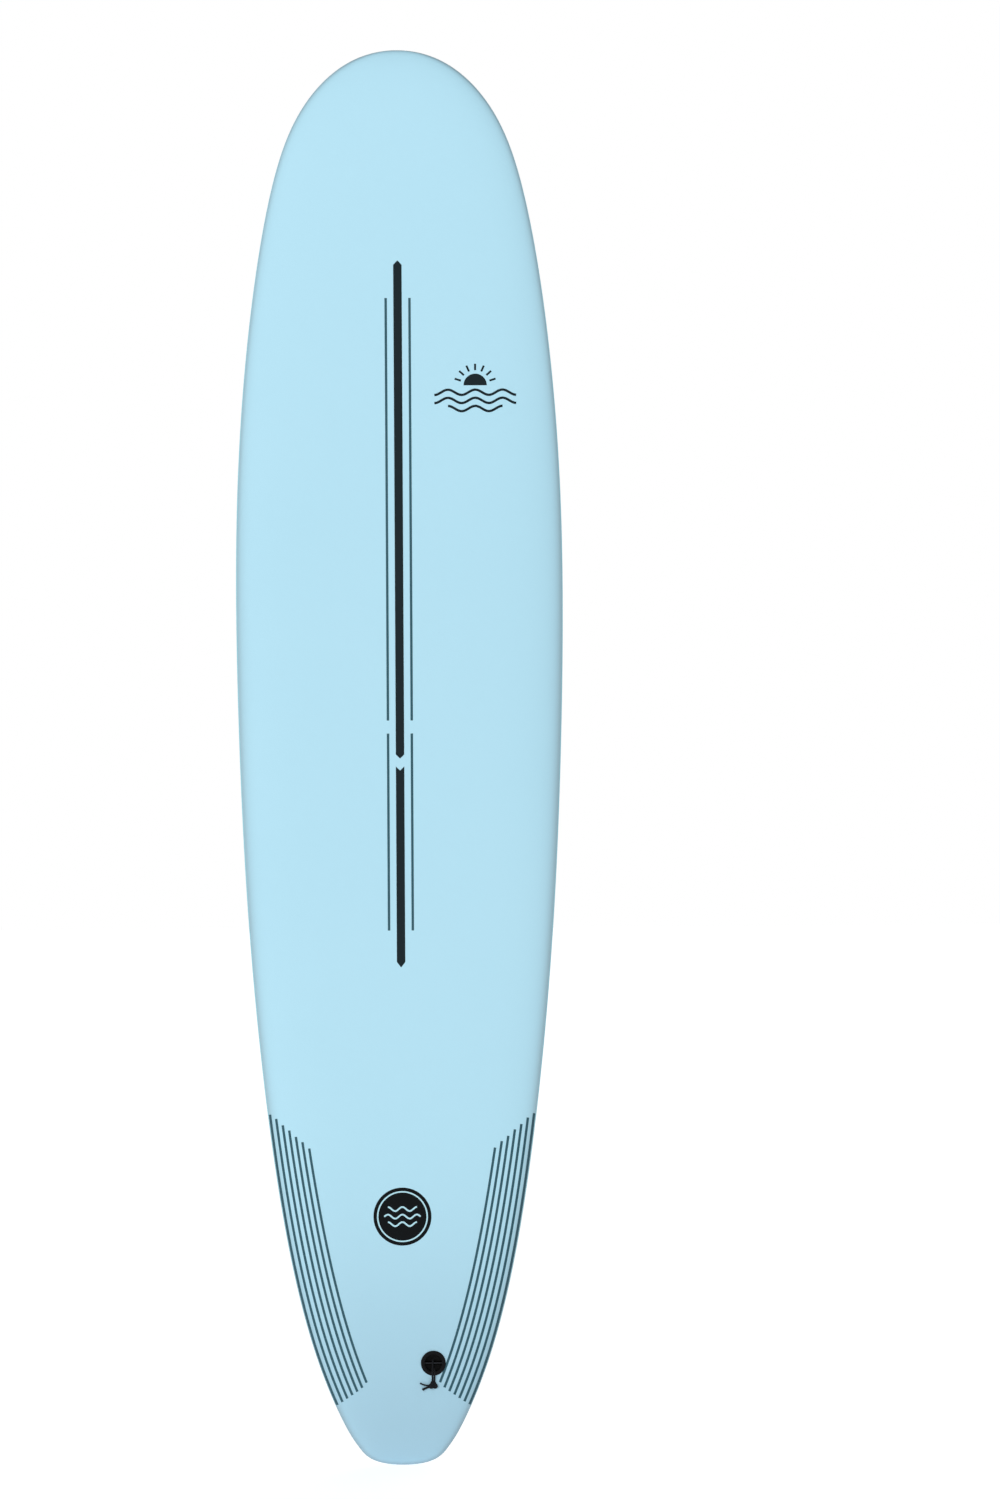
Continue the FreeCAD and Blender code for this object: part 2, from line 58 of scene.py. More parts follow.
class Socket:
    """A socket of a node tree. Sums on sockets add their Math nodes, as in 1 - grain * 0.2."""

    def __init__(self, tree, socket=None):
        self.tree = tree
        self.socket = socket

    def node(self, kind, settings=None, sockets=None, out=0):
        """Adds a node by its type, its settings, then the values or links of its sockets."""
        made = self.tree.nodes.new("ShaderNode" + kind)
        for key, value in (settings or {}).items():
            setattr(made, key, value)
        for key, value in (sockets or {}).items():
            if isinstance(value, Socket):
                self.tree.links.new(value.socket, made.inputs[key])
            else:
                made.inputs[key].default_value = value
        return Socket(self.tree, made.outputs[out])

    def sum(self, operation, *values):
        return self.node("Math", {"operation": operation}, dict(enumerate(values)))

    def __add__(self, other):
        return self.sum("ADD", self, other)

    def __rsub__(self, other):
        return self.sum("SUBTRACT", other, self)

    def __mul__(self, other):
        return self.sum("MULTIPLY", self, other)

    __radd__ = __add__
    __rmul__ = __mul__

    def ease(self, low, high):
        """0 below low, 1 above high, and a smooth step between them."""
        return self.node("MapRange", {"interpolation_type": "SMOOTHSTEP"},
                         {"Value": self, "From Min": low, "From Max": high})

    def mix(self, first, second):
        """Colour between two colours, with this socket as the factor."""
        return self.node("Mix", {"data_type": "RGBA"}, {0: self, 6: first, 7: second}, 2)

    def stretch(self, x, y, z):
        """The place with each of its three lengths multiplied."""
        return self.node("VectorMath", {"operation": "MULTIPLY"}, {0: self, 1: (x, y, z)})

    def noise(self, scale, detail=2.0):
        return self.node("TexNoise", {}, {"Vector": self, "Scale": scale, "Detail": detail})

    def cells(self, scale, feature="F1"):
        return self.node("TexVoronoi", {"feature": feature}, {"Vector": self, "Scale": scale},
                         "Distance")

    def bump(self, strength, depth, below=None):
        """Surface direction for this height, on top of an earlier one if there is one."""
        sockets = {"Height": self, "Strength": strength, "Distance": depth}
        if below is not None:
            sockets["Normal"] = below
        return self.node("Bump", {}, sockets, "Normal")


def tint(red, green, blue):
    """Colour from display numbers of 0 to 255: each is taken to linear light."""
    share = np.array([red, green, blue]) / 255
    light = np.where(share <= 0.04045, share / 12.92, ((share + 0.055) / 1.055) ** 2.4)
    return (*light.tolist(), 1.0)


def finish(name):
    """A new material and its place on the piece, from the object's own coordinates."""
    material = bpy.data.materials.new(name)
    material.use_nodes = True
    return material, Socket(material.node_tree).node("TexCoord", {}, {}, "Object")


def surface(material, varying, fixed):
    """Joins what varies to the material's surface shader and sets what is the same all over."""
    shader = material.node_tree.nodes["Principled BSDF"]
    for key, value in varying.items():
        material.node_tree.links.new(value.socket, shader.inputs[key])
    for key, value in fixed.items():
        shader.inputs[key].default_value = value
    return material


GLOW, GLOW_SEEN = 0.30, 1.00   # strength of the surroundings as light, and as the camera sees them

surroundings = bpy.data.worlds.new("surroundings")
surroundings.use_nodes = True
scene.world = surroundings
air = Socket(surroundings.node_tree)
seen = air.node("LightPath", {}, {}, "Is Camera Ray")
glow = air.node("Background", {}, {
    "Color": (1, 1, 1, 1), "Strength": seen * (GLOW_SEEN - GLOW) + GLOW})
air.tree.links.new(glow.socket, air.tree.nodes["World Output"].inputs["Surface"])
scene.view_settings.view_transform = "Standard"

for name, way, strength, spread in (("deck_light", (0.42, 1.0, -0.30), 1.25, 40),
                                    ("bottom_light", (-0.20, -1.0, -0.30), 0.95, 40)):
    lamp = bpy.data.lights.new(name, "SUN")
    lamp.energy = strength
    lamp.angle = math.radians(spread)
    shining = bpy.data.objects.new(name, lamp)
    shining.rotation_mode = "QUATERNION"
    shining.rotation_quaternion = Vector(way).to_track_quat("-Z", "Y")
    scene.collection.objects.link(shining)

FLOOR_REACH = 60.0

floor_mesh = bpy.data.meshes.new("floor")
floor_mesh.from_pydata([(x * FLOOR_REACH, y * FLOOR_REACH, 0)
                        for x, y in ((-1, -1), (1, -1), (1, 1), (-1, 1))], [], [(0, 1, 2, 3)])
floor = bpy.data.objects.new("floor", floor_mesh)
scene.collection.objects.link(floor)
pale, spot = finish("pale floor")
floor_mesh.materials.append(surface(pale, {"Roughness": spot.noise(3.0) * 0.1 + 0.8}, {
    "Base Color": (0.8, 0.8, 0.8, 1), "Emission Color": (1, 1, 1, 1), "Emission Strength": 0.62}))

VIEW_HEIGHT = 2.5950       # height of the view where the board stands
VIEW_DISTANCE = 20.0
VIEW_TARGET = (0.1725, 1.233)
VIEW_ROLL = 0.3            # degrees

camera = bpy.data.objects.new("camera", bpy.data.cameras.new("camera"))
camera.data.lens = camera.data.sensor_width * VIEW_DISTANCE / VIEW_HEIGHT
camera.data.clip_end = 200
camera.location = (VIEW_TARGET[0], -VIEW_DISTANCE, VIEW_TARGET[1])
camera.rotation_euler = (math.radians(90), math.radians(VIEW_ROLL), 0)
scene.collection.objects.link(camera)
scene.camera = camera


# ---- Core strips ----
# Four strips of expanded bead foam, glued to the stringers between them and shaped to the hull.
# They are closed in by the skins, and show only where a skin is taken off.

bead_foam, place = finish("bead foam")
beads = place.cells(260.0, "DISTANCE_TO_EDGE").ease(0.0, 0.22)
surface(bead_foam, {
    "Base Color": (beads * 0.8 + place.noise(40.0) * 0.2).mix(
        tint(226, 226, 222), tint(246, 246, 243)),
    "Roughness": 0.95 - beads * 0.15,
    "Normal": beads.bump(0.5, 0.0006)}, {"Specular IOR Level": 0.3})


def dress(name, material):
    """Gives a node that keeps its shape its finish."""
    for part in nodes[name].material_slots:
        part.material = material


for name in ("core_left_outer", "core_left_inner", "core_right_inner", "core_right_outer"):
    dress(name, bead_foam)


# ---- Stringers ----
# Three strips of plywood on edge, from tail to nose, which stiffen the core. They are glued in
# between the core strips and sanded flush with them.

ply, place = finish("stringer plywood")
plies = place.node("TexWave", {"bands_direction": "X"}, {
    "Vector": place.stretch(1.0, 1.0, 0.02), "Scale": 330.0, "Distortion": 0.4})
fibre = place.stretch(60.0, 60.0, 4.0).noise(14.0, 6.0)
surface(ply, {
    "Base Color": (plies * 0.35 + fibre * 0.65).mix(tint(168, 128, 84), tint(216, 184, 138)),
    "Roughness": fibre * 0.2 + 0.6,
    "Normal": fibre.bump(0.3, 0.0004)}, {})
for name in ("stringer_left", "stringer_centre", "stringer_right"):
    dress(name, ply)


# ---- Deck skin ----
# A sheet of closed-cell foam with a fine pebbled face, heat-glued over the deck and down round the
# rails to the seam, where it meets the rail's sheet edge to edge in a shallow pressed groove.

LENGTH, WIDTH, THICKNESS = 2.438, 0.565, 0.080
TAIL_ROCKER, NOSE_ROCKER, FLAT_SPOT = 0.050, 0.118, 1.085
TAIL_CURVE, NOSE_CURVE = 2.1, 2.6
STATIONS = np.array([      # shares of length, half-width and half-thickness, from tail to nose
    (0, 0, 0), (0, 0.189, 0.31), (0.0123, 0.275, 0.42), (0.0254, 0.354, 0.50),
    (0.0738, 0.540, 0.63), (0.1538, 0.714, 0.76), (0.2728, 0.857, 0.89), (0.4020, 0.952, 0.985),
    (0.5414, 0.998, 1.02), (0.6768, 1.006, 0.90), (0.7978, 0.932, 0.76), (0.9085, 0.782, 0.60),
    (0.9721, 0.570, 0.45), (1, 0.232, 0.30), (1, 0, 0)])
SECTION = np.array([       # shares of half-width and half-thickness, from deck to bottom
    (0, 1), (0.30, 0.985), (0.58, 0.91), (0.80, 0.74), (0.93, 0.45), (0.993, 0.08),
    (1.002, -0.25), (0.998, -0.60), (0.975, -0.90), (0.93, -1), (0.84, -1), (0.60, -1),
    (0.30, -1), (0, -1)])
U_END = len(STATIONS) - 3  # ring at the nose, from 0 at the tail
V_END = len(SECTION) - 1   # place round the section at the bottom's middle, from 0 at the deck's
DECK_SKIN = 0.005
SEAM_DROP = 0.003          # seam below the middle height
SEAM_GROOVE = 0.0006       # depth of the pressed groove
GROOVE_REACH = 0.0009      # from the seam to where the groove is a third as deep
RAIL_STEP = 0.014          # about how far round the rail one step of v goes
BAR_DEPTH = 0.009          # deck to the plug's bar, where the string is tied
PLUG_CUT = 0.0183          # radius of the skin's hole under the plug's flange
TURN_FROM, TURN_SPAN = 0.96, 0.45   # cosine at which the painted rail shade starts, and its span


def rocker(x):
    """Lift of the bottom: on each side of the flat spot, a power of the distance from it."""
    tail = np.clip((FLAT_SPOT - x) / FLAT_SPOT, 0, 1)
    nose = np.clip((x - FLAT_SPOT) / (LENGTH - FLAT_SPOT), 0, 1)
    return TAIL_ROCKER * tail**TAIL_CURVE + NOSE_ROCKER * nose**NOSE_CURVE


def rings_inset(inset):
    """Control rings of the hull: place along, half-width, half-thickness and middle height."""
    along, wide, thick = STATIONS.T
    half = thick * THICKNESS / 2
    middle = rocker(along * LENGTH) + half
    middle[0], middle[-1] = middle[1], middle[-2]
    width = np.where(wide > 0, wide * WIDTH / 2 - inset, 0)
    return np.stack([inset + along * (LENGTH - 2 * inset), width, half, middle], -1)


def clamped_spline(poles, at):
    """Cubic spline from the first control point to the last. Each point's share is the usual sum
    of two neighbours' shares, three times over, on knots one apart with the end knots fourfold."""
    count = len(poles)
    knots = np.clip(np.arange(count + 4) - 3, 0, count - 3).astype(float)
    at = np.clip(at, 0, count - 3 - 1e-9)
    shares = [np.where((low <= at) & (at < high), 1.0, 0.0) for low, high in zip(knots, knots[1:])]
    for degree in (1, 2, 3):
        spans = [max(knots[i + degree] - knots[i], 1e-9) for i in range(len(shares))]
        shares = [(at - knots[i]) / spans[i] * shares[i]
                  + (knots[i + degree + 1] - at) / spans[i + 1] * shares[i + 1]
                  for i in range(len(shares) - 1)]
    return sum(share[..., None] * pole for share, pole in zip(shares, poles))


def section(v):
    """Shares of half-width and half-thickness at v: the section's control points, weighed by the
    cubic spline's bell and mirrored past both middles."""
    places = np.arange(-2, V_END + 3)
    folded = V_END - np.abs(V_END - np.abs(places))
    side = np.where((places < 0) | (places > V_END), -1, 1)
    gap = np.abs(np.abs(v)[..., None] - places)
    bell = np.where(gap < 1, 2 / 3 - gap**2 + gap**3 / 2, (2 - np.minimum(gap, 2)) ** 3 / 6)
    across = np.sign(v) * (bell * SECTION[folded, 0] * side).sum(-1)
    return across, (bell * SECTION[folded, 1]).sum(-1)


RINGS = rings_inset(0.0)
ring_u = np.linspace(0, U_END, 12001)
ring_x, ring_w, ring_t = clamped_spline(RINGS, ring_u)[:, :3].T
ring_steps = np.hypot(np.hypot(np.diff(ring_x), np.diff(ring_w)), np.diff(ring_t))
ring_run = np.concatenate([[0], np.cumsum(ring_steps)])
round_v = np.linspace(0, V_END, 2601)
round_a, round_b = section(round_v)
widest = int(round_a.argmax())
flat_from = 2001           # first of round_v past v = 10, where the bottom is flat


def hull(u, v, lift=0.0):
    """Point on the board's outer form at ring u and round the section at v: the ring's half-width
    and half-thickness times the section's shares. It then moves out along the normal by lift."""
    x, w, t, c = np.moveaxis(clamped_spline(RINGS, u), -1, 0)
    a, b = section(np.asarray(v, float))
    point = np.stack(np.broadcast_arrays(-w * a, stand - (c + b * t), x), -1)
    return point + hull_normal(u, v) * np.asarray(lift)[..., None] if np.any(lift) else point


def hull_normal(u, v):
    """Way out of the surface: the cross product of two short steps, along u and along v."""
    u, v = np.broadcast_arrays(np.clip(u, 0.03, U_END - 0.03), np.asarray(v, float))
    way = np.cross(hull(u + 0.01, v) - hull(u - 0.01, v), hull(u, v + 0.01) - hull(u, v - 0.01))
    return way / np.linalg.norm(way, axis=-1, keepdims=True)


def on_board(along, across, lift, bottom=False):
    """Point on the deck or bottom at a place in plan: from the tail, and towards +X."""
    u = np.interp(along, ring_x, ring_u)
    share = -across / np.interp(u, ring_u, ring_w)
    if bottom:
        v = np.interp(np.abs(share), round_a[widest:][::-1], round_v[widest:][::-1])
    else:
        v = np.interp(np.abs(share), round_a[:widest], round_v[:widest])
    return hull(u, np.where(share < 0, -v, v), lift)


tie = next(mount for mount in record["mounts"] if mount["name"] == "leash_tie")
plug_out = np.array(tie["axis"]) / np.linalg.norm(tie["axis"])
plug_ahead = np.array([0, 0, 1]) - plug_out * plug_out[2]
plug_ahead /= np.linalg.norm(plug_ahead)
plug_left = np.cross(plug_out, plug_ahead)
plug_top = np.array(tie["pos_m"]) + plug_out * BAR_DEPTH

# Y of the flat spot on the bottom, found from the deck, which passes through the plug's top.
stand = 0.0
stand = plug_top[1] - on_board(np.array(plug_top[2]), np.array(plug_top[0]), 0.0)[1]

# Rings between which the hull's half-thickness is more than the seam's drop.
seam_ends = ring_u[ring_t > SEAM_DROP][[0, -1]]


def seam(u):
    """Place of the seam round the section at ring u: it lies a fixed drop below the middle. In the
    last rings, thinner than that drop, it rounds over the bottom's flat to the middle line."""
    depth = SEAM_DROP / np.maximum(np.interp(u, ring_u, ring_t), 1e-6)
    beyond = 1 - np.minimum(u / seam_ends[0], (U_END - u) / (U_END - seam_ends[1]))
    drop_v = np.interp(np.minimum(depth, 1), -round_b[:flat_from], round_v[:flat_from])
    over_end = V_END - 3 * np.sqrt(np.maximum(1 - 4 * beyond * beyond, 0))
    return np.where(beyond > 0, over_end, drop_v)


def weave(name, grids, material, skip=None, closed=False, marks=None):
    """One mesh from grids of points, a four-sided face to each cell, with doubles merged. skip
    tells which cells are left out by their middles, closed turns all faces outward, and marks are
    numbers kept at the points."""
    corners, faces, first = [], [], 0
    for grid in grids:
        tags = first + np.arange(grid.shape[0] * grid.shape[1]).reshape(grid.shape[:2])
        cells = np.stack([tags[:-1, :-1], tags[1:, :-1], tags[1:, 1:], tags[:-1, 1:]], -1)
        corners.append(grid.reshape(-1, 3))
        faces.append(cells.reshape(-1, 4))
        first += len(corners[-1])
    corners, faces = np.concatenate(corners), np.concatenate(faces)
    if skip is not None:
        faces = faces[~skip(corners[faces].mean(1))]
    mesh = bpy.data.meshes.new(name)
    mesh.from_pydata(corners.tolist(), [], faces.tolist())
    for mark, values in (marks or {}).items():
        mesh.attributes.new(mark, "FLOAT", "POINT").data.foreach_set("value", values.ravel())
    work = bmesh.new()
    work.from_mesh(mesh)
    bmesh.ops.remove_doubles(work, verts=work.verts, dist=2e-6)
    for parts, context in ((work.edges, "EDGES"), (work.verts, "VERTS")):
        loose = [part for part in parts if not part.link_faces]
        bmesh.ops.delete(work, geom=loose, context=context)
    if closed:
        bmesh.ops.recalc_face_normals(work, faces=work.faces)
    work.to_mesh(mesh)
    work.free()
    mesh.polygons.foreach_set("use_smooth", np.ones(len(mesh.polygons), bool))
    mesh.set_sharp_from_angle(angle=math.radians(40))
    mesh.materials.append(material)
    piece = bpy.data.objects.new(name, mesh)
    scene.collection.objects.link(piece)
    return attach(piece, "board")


def thicken(piece, depth):
    """Gives a sheet its wall, inwards from its face, so that the face stays on the hull. The wall
    tapers at nose and tail, where the board's half-thickness falls below three walls."""
    spots = np.zeros(len(piece.data.vertices) * 3)
    piece.data.vertices.foreach_get("co", spots)
    share = (np.interp(spots[2::3], ring_x, ring_t) / (3 * depth)) ** 2
    steps = np.clip(np.ceil(share * 16) / 16, 1 / 16, 1)
    group = piece.vertex_groups.new(name="wall")
    for step in np.unique(steps):
        group.add(np.flatnonzero(steps == step).tolist(), float(step), "REPLACE")
    wall = piece.modifiers.new("wall", "SOLIDIFY")
    wall.thickness = depth
    wall.offset = -1
    wall.vertex_group = "wall"
    return piece


def pebbled(place):
    """Pores of the foam's face, and the relief that they make together with its pebbles."""
    pores = place.noise(2600.0, 3.0)
    return pores, place.cells(620.0) * 0.8 + pores * 0.5


deck_foam, place = finish("deck foam")
pores, relief = pebbled(place)
drift = place.noise(2.6, 3.0)
height = place.node("SeparateXYZ", {}, {0: place}, 2)
pale_blue = (drift * 0.9 + pores * 0.1).mix(tint(178, 224, 242), tint(184, 228, 245))
# Painted shade at the rails: turned, kept at the skin's points, darkens the colour where the face
# turns away from straight ahead.
turned = place.node("Attribute", {"attribute_name": "turned"}, {}, "Fac")
# Painted shade: the deck's colour darkens towards the tail, the lower end of the standing board.
shaded_toward_tail = (1 - height.ease(-0.30, 0.62)).mix(pale_blue, tint(153, 187, 206))
rail_painted_shade = shaded_toward_tail.node("Mix", {"data_type": "RGBA", "blend_type": "MULTIPLY"}, {
    0: 1.0, 6: shaded_toward_tail, 7: tint(230, 225, 224)}, 2)
surface(deck_foam, {
    "Base Color": turned.mix(shaded_toward_tail, rail_painted_shade),
    "Roughness": pores * 0.16 + 0.62,
    "Normal": relief.bump(0.35, 0.0004)},
    {"Specular IOR Level": 0.35, "Sheen Weight": 0.08, "Sheen Roughness": 0.5})

# Rows go evenly along the outline, closer together by the plug and where the seam rounds the tips.
rows = np.interp(np.linspace(0, ring_run[-1], 350), ring_run, ring_u)
plug_rows = np.interp(np.linspace(-0.025, 0.025, 22) + plug_top[2], ring_x, ring_u)
near = np.array([0.5, 0.502, 0.51, 0.53, 0.56, 0.6, 0.66, 0.74, 0.82, 0.9, 1,
                 1.01, 1.03, 1.06, 1.1, 1.15, 1.2, 1.3, 1.4])
rows = np.unique(np.concatenate([
    rows, plug_rows, seam_ends[0] * near, U_END - (U_END - seam_ends[1]) * near]))

# Columns go evenly from seam to seam, closer together across the plug and next to the seams.
across = np.concatenate([np.linspace(-1, 1, 81), np.linspace(-0.32, -0.10, 22)])
for gap in (0.0035, 0.009, 0.018):
    across = np.append(across, [1 - gap, gap - 1])
across = np.unique(across)
edge = seam(rows)
v = across * edge[:, None]
to_seam = (1 - np.abs(across)) * edge[:, None] * RAIL_STEP
groove = -SEAM_GROOVE * np.exp(-((to_seam / GROOVE_REACH) ** 2))
groove = groove * np.minimum((V_END - edge[:, None]) / 2, 1)


def under_plug(middles):
    """Cells nearer to the plug's axis than its cup's flange reaches."""
    arm = middles - plug_top
    arm = arm - (arm @ plug_out)[:, None] * plug_out
    return np.linalg.norm(arm, axis=1) < PLUG_CUT


# The painted rail shade comes in where the face turns away from straight ahead.
facing = -hull_normal(rows[:, None], v)[..., 1]
share = np.clip((TURN_FROM - facing) / TURN_SPAN, 0, 1)
deck_skin = weave("deck_foam_skin", [hull(rows[:, None], v, groove)], deck_foam, skip=under_plug,
                  marks={"turned": share * share * (3 - 2 * share)})
thicken(deck_skin, DECK_SKIN)
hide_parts("deck_skin", "tail_skin_left", "tail_skin_right")


# ---- Rail skin ----
# A strip of the same foam in a stronger blue, from the seam down round the rail and under, where
# 10 mm of it shows as a band all round the slick sheet.

RAIL_BAND = 0.010
RAIL_SKIN = 0.003
RIM_PRESS = 0.0003         # how far the two sheets' meeting rims are pressed in
RIM_SHARE = 0.02           # reach of a pressed rim, as a share of the strip's breadth

rail_foam, place = finish("rail foam")
pores, relief = pebbled(place)
surface(rail_foam, {
    "Base Color": (place.noise(3.0) * 0.8 + pores * 0.2).mix(
        tint(146, 211, 227), tint(156, 218, 233)),
    "Roughness": pores * 0.16 + 0.60,
    "Normal": relief.bump(0.35, 0.0004)},
    {"Specular IOR Level": 0.35, "Sheen Weight": 0.08, "Sheen Roughness": 0.5})


def inset_line(inset, count):
    """Line on the bottom that keeps a distance from the outline: its rings, half-widths and v."""
    fine = np.linspace(0, U_END, 4001)
    x, w = clamped_spline(rings_inset(inset), fine)[:, :2].T
    run = np.concatenate([[0], np.cumsum(np.hypot(np.diff(x), np.diff(w)))])
    ticks = np.interp(np.linspace(0, run[-1], count), run, fine)
    x, w = clamped_spline(rings_inset(inset), ticks)[:, :2].T
    u = np.interp(x, ring_x, ring_u)
    share = w / np.interp(u, ring_u, ring_w)
    return u, w, np.interp(share, round_a[widest:][::-1], round_v[widest:][::-1])


band_u, _, band_v = inset_line(RAIL_BAND, 360)
tip_u = np.linspace(0.5, 3, 3000)
nose_tip = U_END - seam_ends[1]
between = np.linspace(3 * seam_ends[0], U_END - 3 * nose_tip, 9000)[1:-1]
seam_u = np.concatenate([tip_u * seam_ends[0], between, U_END - tip_u[::-1] * nose_tip])
seam_v = seam(seam_u)
steps = np.linalg.norm(np.diff(hull(seam_u, seam_v), axis=0), axis=1)
run = np.concatenate([[0], np.cumsum(steps)])
ticks = np.linspace(0, run[-1], len(band_u))
seam_u, seam_v = np.interp(ticks, run, seam_u), np.interp(ticks, run, seam_v)
# Shares of the way from the seam down to the band's inner line, closer together at both rims.
down = np.array([0, 0.012, 0.03, 0.06, *np.linspace(0.1, 0.94, 15), 0.97, 0.985, 1])
strip_u = seam_u[:, None] * (1 - down) + band_u[:, None] * down
strip_v = seam_v[:, None] * (1 - down) + band_v[:, None] * down
press = -SEAM_GROOVE * np.exp(-((down / RIM_SHARE) ** 2))
press = press * np.minimum((V_END - seam_v[:, None]) / 2, 1)
press = press - RIM_PRESS * np.exp(-(((1 - down) / RIM_SHARE) ** 2))
side = hull(strip_u, strip_v, press)
other = hull(strip_u[::-1], -strip_v[::-1], press[::-1])
rail_skin = weave("rail_foam_skin", [np.concatenate([side, other[1:]])], rail_foam)
thicken(rail_skin, RAIL_SKIN)
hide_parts("rail_skin")


# ---- Slick bottom ----
# A hard white polyethylene sheet, heat-glued to the bottom inside the rail's band. Its face has
# the soft gloss and faint waviness of sheet that was formed over foam.

SLICK_SHEET = 0.0016
BUTT_GAP = 0.0002          # between the rail's band and the sheet
NEAR_BOX = 0.09            # from a box's middle to the farthest face that its cut may divide
COLUMN_ARC = math.pi / 2 * 0.92  # columns crowd towards the rim as a sine over this arc does
TOE_IN = {"fin_box_centre": 0.0, "fin_box_left": 1.8, "fin_box_right": -1.8}

slick, place = finish("slick sheet")
ripple = place.noise(9.0, 2.0)
scuff = place.stretch(1.0, 1.0, 0.25).noise(90.0, 4.0)
surface(slick, {
    "Base Color": (ripple * 0.7 + scuff * 0.3).mix(tint(244, 246, 247), tint(250, 251, 252)),
    "Roughness": scuff * 0.05 + 0.22,
    "Normal": (ripple + scuff * 0.002).bump(0.12, 0.004)}, {"IOR": 1.5})

edge_u, edge_w, _ = inset_line(RAIL_BAND + BUTT_GAP, 340)
across = np.sin(np.linspace(-1, 1, 81) * COLUMN_ARC) / math.sin(COLUMN_ARC)
share = across * edge_w[:, None] / np.interp(edge_u, ring_u, ring_w)[:, None]
v = np.interp(np.abs(share), round_a[widest:][::-1], round_v[widest:][::-1])
press = -RIM_PRESS * np.exp(-(((1 - np.abs(across)) / 0.003) ** 2))
sheet = hull(edge_u[:, None], np.where(share < 0, -v, v), press)
slick_bottom = weave("slick_sheet", [sheet[:, ::-1]], slick)


def cut_out(piece, name, half_length=0.069, half_width=0.015):
    """Opens the sheet under a fin box's flange: it is cut along four planes round the box's
    middle, turned with the box's toe-in, and what lies within all four is taken off."""
    low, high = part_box(name)
    along, over = (low.z + high.z) / 2, (low.x + high.x) / 2
    middle = Vector(on_board(np.array(along), np.array(over), 0.0, True))
    turn = math.radians(TOE_IN[name])
    ahead = Vector((math.sin(turn), 0, math.cos(turn)))
    aside = Vector((math.cos(turn), 0, -math.sin(turn)))
    work = bmesh.new()
    work.from_mesh(piece.data)
    for way, reach in ((ahead, half_length), (-ahead, half_length),
                       (aside, half_width), (-aside, half_width)):
        near = [face for face in work.faces
                if (face.calc_center_median() - middle).length < NEAR_BOX]
        edges = {edge for face in near for edge in face.edges}
        corners = {corner for face in near for corner in face.verts}
        bmesh.ops.bisect_plane(work, geom=[*near, *edges, *corners], dist=1e-6,
                               plane_co=middle + way * reach, plane_no=way)
    inside = [face for face in work.faces
              if abs((face.calc_center_median() - middle).dot(ahead)) < half_length
              and abs((face.calc_center_median() - middle).dot(aside)) < half_width]
    bmesh.ops.delete(work, geom=inside, context="FACES")
    work.to_mesh(piece.data)
    work.free()


for name in TOE_IN:
    cut_out(slick_bottom, name)
thicken(slick_bottom, SLICK_SHEET)
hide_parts("slick_bottom")


# ---- Deck prints ----
# Thin films of ink on the foam: a black centre stripe in two lengths, with pinstripes beside it and
# seven lines along each rail at the tail in a softer tone, a sun over waves and a round badge.

INK_LIFT = 0.0002          # foam to a film's face
STRIPE_HALF = 0.00725      # half the width of the centre stripe
PINSTRIPE_AWAY = 0.0205    # middle of the board to each pinstripe
LINE_HALF = 0.0021         # half the width of a fine line
LINE_INSET = 0.0042        # outline to the outermost tail line
LINE_PITCH = 0.0111        # from line to line at PITCH_FROM; the lines draw together above it
PITCH_FROM, PITCH_SPAN, PITCH_LOSS = 0.155, 0.371, 0.0010
LINE_TOPS = [0.605, 0.598, 0.587, 0.578, 0.567, 0.558, 0.547]
LINE_FEET = [0.104, 0.1095, 0.1155, 0.1215, 0.1275, 0.134, 0.1430]
SUN = (1.862, 0.133)       # along from the tail, across from the middle
BADGE = (0.429, 0.0)

ink, place = finish("deck ink")
pores, relief = pebbled(place)
surface(ink, {
    "Base Color": pores.mix(tint(10, 25, 30), tint(17, 34, 41)),
    "Roughness": pores * 0.2 + 0.45,
    "Normal": relief.bump(0.3, 0.0003)}, {"Specular IOR Level": 0.15})


def films(name, patches, material, lift=INK_LIFT, depth=0.00015, bottom=False):
    """Thin closed films on the board. A patch is two grids, place along and across in plan, and
    whether its columns meet. Its face, back and rims are grids of their own."""
    grids = []
    for along, over, meets in patches:
        face = on_board(along, over, lift, bottom)
        back = on_board(along, over, lift - depth, bottom)
        grids += [face, back[:, ::-1]]
        grids += [np.stack([face[row], back[row]]) for row in (0, -1)]
        if not meets:
            grids += [np.stack([face[:, column], back[:, column]]) for column in (0, -1)]
    return weave(name, grids, material, closed=True)


def stripe(low, high, half, low_tip, high_tip, middle=0.0, step=0.012):
    """Straight stripe along the board: across it both ends follow a V of their own depth."""
    over = np.linspace(-1, 1, 7)
    start = low - low_tip * (1 - np.abs(over))
    end = high + high_tip * (1 - np.abs(over))
    go = np.linspace(0, 1, int((high - low) / step) + 2)[:, None]
    return start + (end - start) * go, np.broadcast_to(middle + over * half, (len(go), 7)), False


def ribbon(along, over, half):
    """Line of even width along a path in plan: three columns square to the path's direction."""
    slope = np.stack([np.gradient(along), np.gradient(over)])
    slope /= np.linalg.norm(slope, axis=0)
    along_slope, over_slope = slope[:, :, None]
    offset = np.array([-1, 0, 1]) * half
    return along[:, None] - over_slope * offset, over[:, None] + along_slope * offset, False


def disc(along, over, inner, outer, start=0.0, end=360.0):
    """Round patch, or part of one, between two radii."""
    turn = np.radians(np.linspace(start, end, 73))
    reach = np.linspace(inner, outer, 2 + int((outer - inner) / 0.008))[:, None]
    return along + reach * np.sin(turn), over + reach * np.cos(turn), end - start == 360


def swell(along, over, length, half, rise=0.0045, wave=0.047, lengthwise=False):
    """Wave line, across the board or along it: a cosine on both sides of its middle."""
    go = np.linspace(-length / 2, length / 2, 80)
    lift = rise * np.cos(go * 2 * math.pi / wave)
    if lengthwise:
        return ribbon(along + go, over + lift, half)
    return ribbon(along + lift, over + go, half)


deck_stripes = films("deck_stripes", [
    stripe(1.2261, 2.0697, STRIPE_HALF, 0.0069, 0.0077),
    stripe(0.8682, 1.2054, STRIPE_HALF, 0.0095, -0.0069)], ink)

